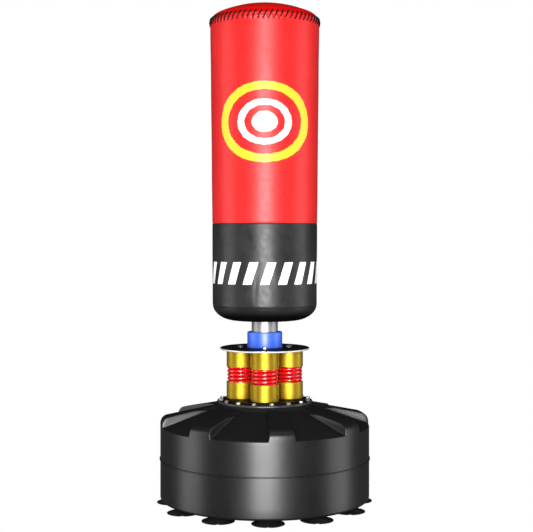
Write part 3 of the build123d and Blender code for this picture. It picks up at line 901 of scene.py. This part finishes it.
def make_tube():
    lo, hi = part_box("centre_tube")
    radius = hi.x
    inner_r = radius - 3 * MM
    rows = [(inner_r, lo.z, 0), (radius, lo.z, 0.4 * MM), (radius, hi.z, 0.6 * MM),
            (inner_r, hi.z, 0.6 * MM), (inner_r, lo.z, 0)]
    tube = lathe("steel_tube", filled(rounded(rows, 4), 40 * MM), closed=True)
    place(tube, "upper", "chrome", "chrome_tube", "centre_tube")
    lo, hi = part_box("blue_collar")
    bore_r = radius + 0.3 * MM
    rows = [(bore_r, lo.z, 0), (hi.x, lo.z, 0.8 * MM), (hi.x, hi.z, 3 * MM),
            (radius + 1.5 * MM, hi.z, 1 * MM), (bore_r, hi.z - 2 * MM, 0), (bore_r, lo.z, 0)]
    collar = lathe("collar_ring", filled(rounded(rows, 6), 6 * MM), closed=True)
    place(collar, "upper", "blue_plastic", "blue_plastic", "blue_collar")


# Bag ----------------------------------------------------------------------------------------


def bag_radius(z):
    """Outside radius of the covers, which widen a little towards the top."""
    return np.interp(z, (BAG_SEAM_Z, COLOUR_SEAM_Z, BAG_TOP_Z), (BAG_FOOT_R, BAG_MIDDLE_R, BAG_TOP_R))


def slow_waves(azimuth, z, size, seed):
    """Shallow unevenness of a stuffed cover: a few broad waves, the same on every run."""
    draw = np.random.default_rng(seed)
    total = np.zeros(np.broadcast(azimuth, z).shape)
    for _ in range(14):
        around, tall = draw.integers(1, 9), draw.uniform(4, 26)
        wave = np.sin(around * azimuth + tall * z * TAU / 4 + draw.uniform(0, TAU))
        total += wave * draw.uniform(0.4, 1.0)
    return size * total / 4


def creases(azimuth, z, low_z, high_z, seed, count, depth):
    """Soft slanting folds, as a coated cover shows where it is pulled down at its hem."""
    draw = np.random.default_rng(seed)
    total = np.zeros(np.broadcast(azimuth, z).shape)
    for _ in range(count):
        at, tilt = draw.uniform(0, TAU), draw.uniform(-2.2, 2.2)
        mid, tall = draw.uniform(low_z, high_z), draw.uniform(20, 70) * MM
        wide = draw.uniform(5, 14) * MM / BAG_FOOT_R
        off = (azimuth - at - tilt * (z - mid) + math.pi) % TAU - math.pi
        total -= np.exp(-((off / wide) ** 2) - ((z - mid) / tall) ** 2) * draw.uniform(0.4, 1.0)
    return depth * total


def stitch_pull(azimuth, distance):
    """How far the leather sinks at the stitch holes and swells between them, near the top edge."""
    phase = np.cos(STITCH_COUNT * azimuth)
    near = np.exp(-((distance / (9 * MM)) ** 2))
    hole = np.exp(-(((distance - 8 * MM) / (3 * MM)) ** 2)) * smoothstep(phase * 1.5 - 0.4)
    return -0.55 * MM * phase * near - 0.9 * MM * hole


def sleeve(name, low_z, high_z, seed, material, slot, node, top_edge):
    """A cover: a closed skin 2 mm thick, hemmed at both ends, over the stuffed bag."""
    hem = 1.6 * MM
    outer = np.linspace(low_z, high_z, max(30, int((high_z - low_z) / (3.5 * MM))))
    if top_edge:
        outer = np.concatenate([outer[outer < high_z - 26 * MM], np.linspace(high_z - 26 * MM, high_z, 27)])
    inner = np.linspace(high_z, low_z, 12)
    z = np.concatenate([outer, inner])
    skin = np.concatenate([np.zeros(len(outer)), np.full(len(inner), COVER_T)])

    def swell(azimuth, radius, height):
        base = bag_radius(height) - skin[None, :]
        soft = slow_waves(azimuth, height, 0.35 * MM, seed)
        fade = smoothstep((height - low_z) / (20 * MM)) * smoothstep((high_z - height) / (20 * MM))
        soft = soft * fade
        if not top_edge:
            soft = soft + creases(azimuth, height, low_z, high_z, seed + 1, 26, 0.9 * MM) * fade
        edge_low = np.exp(-((height - low_z) / hem) ** 2)
        edge_high = np.exp(-((high_z - height) / hem) ** 2)
        tuck = -1.1 * MM * edge_low - (0.3 if top_edge else 1.1) * MM * edge_high
        outside = skin[None, :] == 0
        pull = stitch_pull(azimuth + 0.35 * STITCH_LEAN, high_z - height) if top_edge else 0.0
        return base + soft + outside * (tuck + pull), height

    piece = lathe(name, np.stack([bag_radius(z), z], axis=-1), BAG_SEGMENTS, swell, True, 60.0)
    place(piece, "upper", material, slot, node)


def dome_profile(off=0.0):
    """The domed top: a tight shoulder arc that runs into a flat crown arc."""
    centre_r = BAG_TOP_R - DOME_SHOULDER
    crown = (centre_r**2 + DOME_RISE**2 - DOME_SHOULDER**2) / (2 * (DOME_RISE - DOME_SHOULDER))
    turn = math.asin(centre_r / (crown - DOME_SHOULDER))
    shoulder = np.linspace(math.pi / 2, turn, 40)
    roof = np.linspace(turn, 0, 50)[1:]
    radius = np.concatenate([centre_r + (DOME_SHOULDER - off) * np.sin(shoulder),
                             (crown - off) * np.sin(roof)])
    rise = np.concatenate([(DOME_SHOULDER - off) * np.cos(shoulder),
                           DOME_RISE - crown + (crown - off) * np.cos(roof)])
    radius[-1] = 0.0
    return radius, BAG_TOP_Z + rise


def make_top_panel():
    outer_r, outer_z = dome_profile()
    inner_r, inner_z = dome_profile(COVER_T)
    profile = list(zip(outer_r, outer_z)) + list(zip(inner_r[::-4], inner_z[::-4]))
    count = len(outer_r)
    along = np.concatenate([[0], np.cumsum(np.hypot(np.diff(outer_r), np.diff(outer_z)))])

    def pucker(azimuth, radius, height):
        pull = np.zeros_like(radius)
        leaned = azimuth - 0.65 * STITCH_LEAN
        pull[:, :count] = stitch_pull(leaned, np.abs(along[None, :] - 10 * MM))
        waves = slow_waves(azimuth, radius[:, :count] * 6, 0.15 * MM, 11)
        pull[:, :count] += waves * smoothstep(along / (60 * MM))
        slope = smoothstep((height - BAG_TOP_Z) / (30 * MM))
        wide = radius + pull * (1 - slope) * (radius > 1 * MM)
        return wide, height + pull * slope * (radius > 1 * MM)

    panel = lathe("domed_top", profile, BAG_SEGMENTS, pucker, sharp=60.0)
    place(panel, "upper", "red_top", "red_cover", "top_panel")
    dull_slopes(panel, "red_top", *DOME_SLOPES)


def make_stitching():
    """Whipping cord: one two-ply stitch after another over the edge, leaning on the dome."""
    outer_r, outer_z = dome_profile()
    low_z = BAG_TOP_Z - 8.5 * MM
    side_z = np.linspace(low_z, BAG_TOP_Z, 12)
    side_r = bag_radius(side_z)
    over = outer_z < BAG_TOP_Z + 15 * MM
    path_r = np.concatenate([side_r[:-1], outer_r[over]])
    path_z = np.concatenate([side_z[:-1], outer_z[over]])
    span = np.concatenate([[0], np.cumsum(np.hypot(np.diff(path_r), np.diff(path_z)))])
    even = np.linspace(0, 1, 24)
    path_r, path_z = np.interp(even, span / span[-1], path_r), np.interp(even, span / span[-1], path_z)
    bulge = np.sin(np.pi * even) ** 0.45
    lift = bulge * (STITCH_R - 0.3 * MM) - 0.7 * MM
    normal_r, normal_z = np.gradient(path_z, even), -np.gradient(path_r, even)
    size = np.hypot(normal_r, normal_z)
    azimuth = STITCH_LEAN * (even - 0.35)
    line = ring_points(azimuth, path_r + normal_r / size * lift, path_z + normal_z / size * lift)
    taper = STITCH_R * np.interp(even, (0, 0.15, 0.6, 0.85, 1), (0.45, 0.62, 0.82, 1.08, 0.55))
    points, faces = tube_along(line, taper, 14, lobes=2, twist=TAU / (9 * MM) / 2, lobe_depth=0.16)
    parts = [(turned(points, TAU * i / STITCH_COUNT), faces) for i in range(STITCH_COUNT)]
    cord = gather("whip_stitches", parts, 70.0)
    place(cord, "upper", "cord", "black_cord", "top_stitching")


def make_bottom_cap():
    """The moulded cap under the bag: a flat floor, a broad elliptical turn and a lip at the seam."""
    drop = CAP_TURN_Z - BAG_FOOT_Z

    def turned_edge(off, count):
        """From the flat foot up to the seam, at a depth below the skin."""
        last = -math.asin((CAP_TURN_Z - BAG_SEAM_Z) / (drop - off))
        turn = np.linspace(-math.pi / 2, last, count)
        reach = BAG_FOOT_R - CAP_FLAT_R - off
        return [(CAP_FLAT_R + reach * math.cos(a), CAP_TURN_Z + (drop - off) * math.sin(a)) for a in turn]

    outer = turned_edge(0.0, 40)
    lip_r = outer[-1][0]
    outer[-1] = (lip_r - 0.9 * MM, BAG_SEAM_Z - 0.1 * MM)
    outer.insert(-1, (lip_r - 0.15 * MM, BAG_SEAM_Z - 1.6 * MM))
    inner = turned_edge(4 * MM, 14)[::-1]
    hole = [(CAP_HOLE_R, BAG_FOOT_Z + 4 * MM), (CAP_HOLE_R, BAG_FOOT_Z + 0.8 * MM),
            (CAP_HOLE_R + 0.8 * MM, BAG_FOOT_Z)]
    profile = filled(outer + inner + hole, 12 * MM)
    cap = lathe("bottom_cap", profile, 240, closed=True)
    place(cap, "upper", "black_plastic", "black_plastic", "bag_bottom_cap")
    dull_slopes(cap, "black_plastic")


def make_rear_seam():
    """Top-stitching of the covers' upright seam at the back: short thread runs in two rows."""
    parts = []
    for z in np.arange(BAG_SEAM_Z + 8 * MM, BAG_TOP_Z - 16 * MM, 9 * MM):
        if abs(z - COLOUR_SEAM_Z) < 7 * MM:
            continue
        for off in (-4 * MM, 4 * MM):
            share = np.linspace(0, 1, 7)
            height = z + 6 * MM * share
            radius = bag_radius(height) + 0.25 * MM * np.sin(np.pi * share) + 0.15 * MM
            line = ring_points(math.pi + off / BAG_FOOT_R + 0 * share, radius, height)
            parts.append(tube_along(line, 0.55 * MM, 8))
    thread = gather("rear_seam_thread", parts, 70.0)
    place(thread, "upper", "cord", "black_cord")


def make_bag():
    sleeve("red_sleeve", COLOUR_SEAM_Z, BAG_TOP_Z, 3, "red_cover", "red_cover", "cover_red", True)
    sleeve("black_sleeve", BAG_SEAM_Z, COLOUR_SEAM_Z, 7, "black_cover", "black_cover", "cover_black", False)
    make_top_panel()
    make_stitching()
    make_bottom_cap()
    make_rear_seam()


# Carried-over CAD nodes ---------------------------------------------------------------------


def dress_nodes():
    """Materials for the pieces inside, which keep their CAD shape."""
    dress = {
        "foam": ("foam_core", "foam_outer", "top_foam_pad"),
        "black_plastic": ("bag_liner", "tube_end_cap"),
        "rubber": ("fill_plug_gasket",),
        "brass": ("flange_inserts",),
        "zinc": ("tube_spigot", "suction_cup_studs", "lower_column_bolts", "lower_column_nuts",
                 "upper_column_nuts"),
    }
    for material, names in dress.items():
        for name in names:
            node = frame["nodes"][name]
            node.data.materials.clear()
            node.data.materials.append(MATERIALS[material])


# Camera, floor and light --------------------------------------------------------------------

CAMERA_LENS = 77.67
CAMERA_AT = (0.0050, -3.317, 0.7536)
CAMERA_SHIFT_Y = -0.0488
ROOM_GLOSS = 0.055  # the room's brightness in reflections
ROOM_FILL = 0.65  # and as light on matt surfaces


def aim(thing, target):
    thing.rotation_euler = (Vector(target) - thing.location).to_track_quat("-Z", "Y").to_euler()


def make_camera():
    data = bpy.data.cameras.new("camera")
    data.sensor_width = 36.0
    data.lens = CAMERA_LENS
    data.clip_end = 60.0
    camera = bpy.data.objects.new("camera", data)
    camera.location = CAMERA_AT
    camera.rotation_euler = (math.radians(90), 0, 0)
    data.shift_y = CAMERA_SHIFT_Y
    bpy.context.scene.collection.objects.link(camera)
    bpy.context.scene.camera = camera


def stage_only(thing):
    """Keeps a stage object out of reflections and shadows, so that the object is lit from all round."""
    thing.visible_glossy = False
    thing.visible_diffuse = False
    thing.visible_shadow = False


def make_floor():
    """A plain floor that is as bright as the backdrop."""
    mesh = bpy.data.meshes.new("floor")
    size, drop = 30.0, -0.4 * MM
    corners = ((-size, -size), (size, -size), (size, size), (-size, size))
    mesh.from_pydata([(x, y, drop) for x, y in corners], [], [(0, 1, 2, 3)])
    floor = bpy.data.objects.new("floor", mesh)
    bpy.context.scene.collection.objects.link(floor)
    shader = Shader("floor")
    shader.set(Base_Color=grey(0), Specular_IOR_Level=0.0, Roughness=1.0)
    shader.set(Emission_Color=grey(1), Emission_Strength=1.0)
    mesh.materials.append(shader.material)
    stage_only(floor)


def area_light(name, azimuth, distance, height, width, tall, radiance, target_z=None):
    """A soft box that gives a chosen brightness, whatever its size."""
    data = bpy.data.lights.new(name, "AREA")
    data.shape = "RECTANGLE"
    data.size, data.size_y = width, tall
    data.energy = radiance * math.pi * width * tall
    light = bpy.data.objects.new(name, data)
    a = math.radians(azimuth)
    light.location = (distance * math.sin(a), -distance * math.cos(a), height)
    light.visible_camera = False
    bpy.context.scene.collection.objects.link(light)
    aim(light, (0, 0, height if target_z is None else target_z))


def make_backdrop():
    """White to the camera, a dim room to reflections and a brighter one to matt surfaces."""
    world = bpy.data.worlds.new("studio")
    bpy.context.scene.world = world
    world.use_nodes = True
    tree = world.node_tree
    tree.nodes.clear()
    path = tree.nodes.new("ShaderNodeLightPath")
    output = tree.nodes.new("ShaderNodeOutputWorld")

    def background(strength):
        light = tree.nodes.new("ShaderNodeBackground")
        light.inputs["Color"].default_value = grey(1)
        light.inputs["Strength"].default_value = strength
        return light.outputs[0]

    def choose(ray, otherwise, then):
        mix = tree.nodes.new("ShaderNodeMixShader")
        tree.links.new(path.outputs[ray], mix.inputs[0])
        tree.links.new(otherwise, mix.inputs[1])
        tree.links.new(then, mix.inputs[2])
        return mix.outputs[0]

    lit = choose("Is Diffuse Ray", background(ROOM_GLOSS), background(ROOM_FILL))
    tree.links.new(choose("Is Camera Ray", lit, background(1.0)), output.inputs["Surface"])
    bpy.context.scene.view_settings.view_transform = "Standard"


def make_lights():
    area_light("front_box", 0.3, 4.6, 0.6, 2.0, 3.0, 15.0)
    area_light("left_box", -83.0, 3.2, 0.5, 1.6, 3.2, 1.75)
    area_light("right_box", 84.0, 3.2, 0.5, 1.6, 3.2, 1.75)
    area_light("overhead_box", 0.0, 0.4, 4.2, 2.4, 2.4, 1.2, target_z=0.0)


make_camera()
make_tank()
make_suction_cups()
make_fill_plug()
make_flange()
make_columns()
make_upper_plate()
make_tube()
make_bag()
dress_nodes()
make_floor()
make_backdrop()
make_lights()
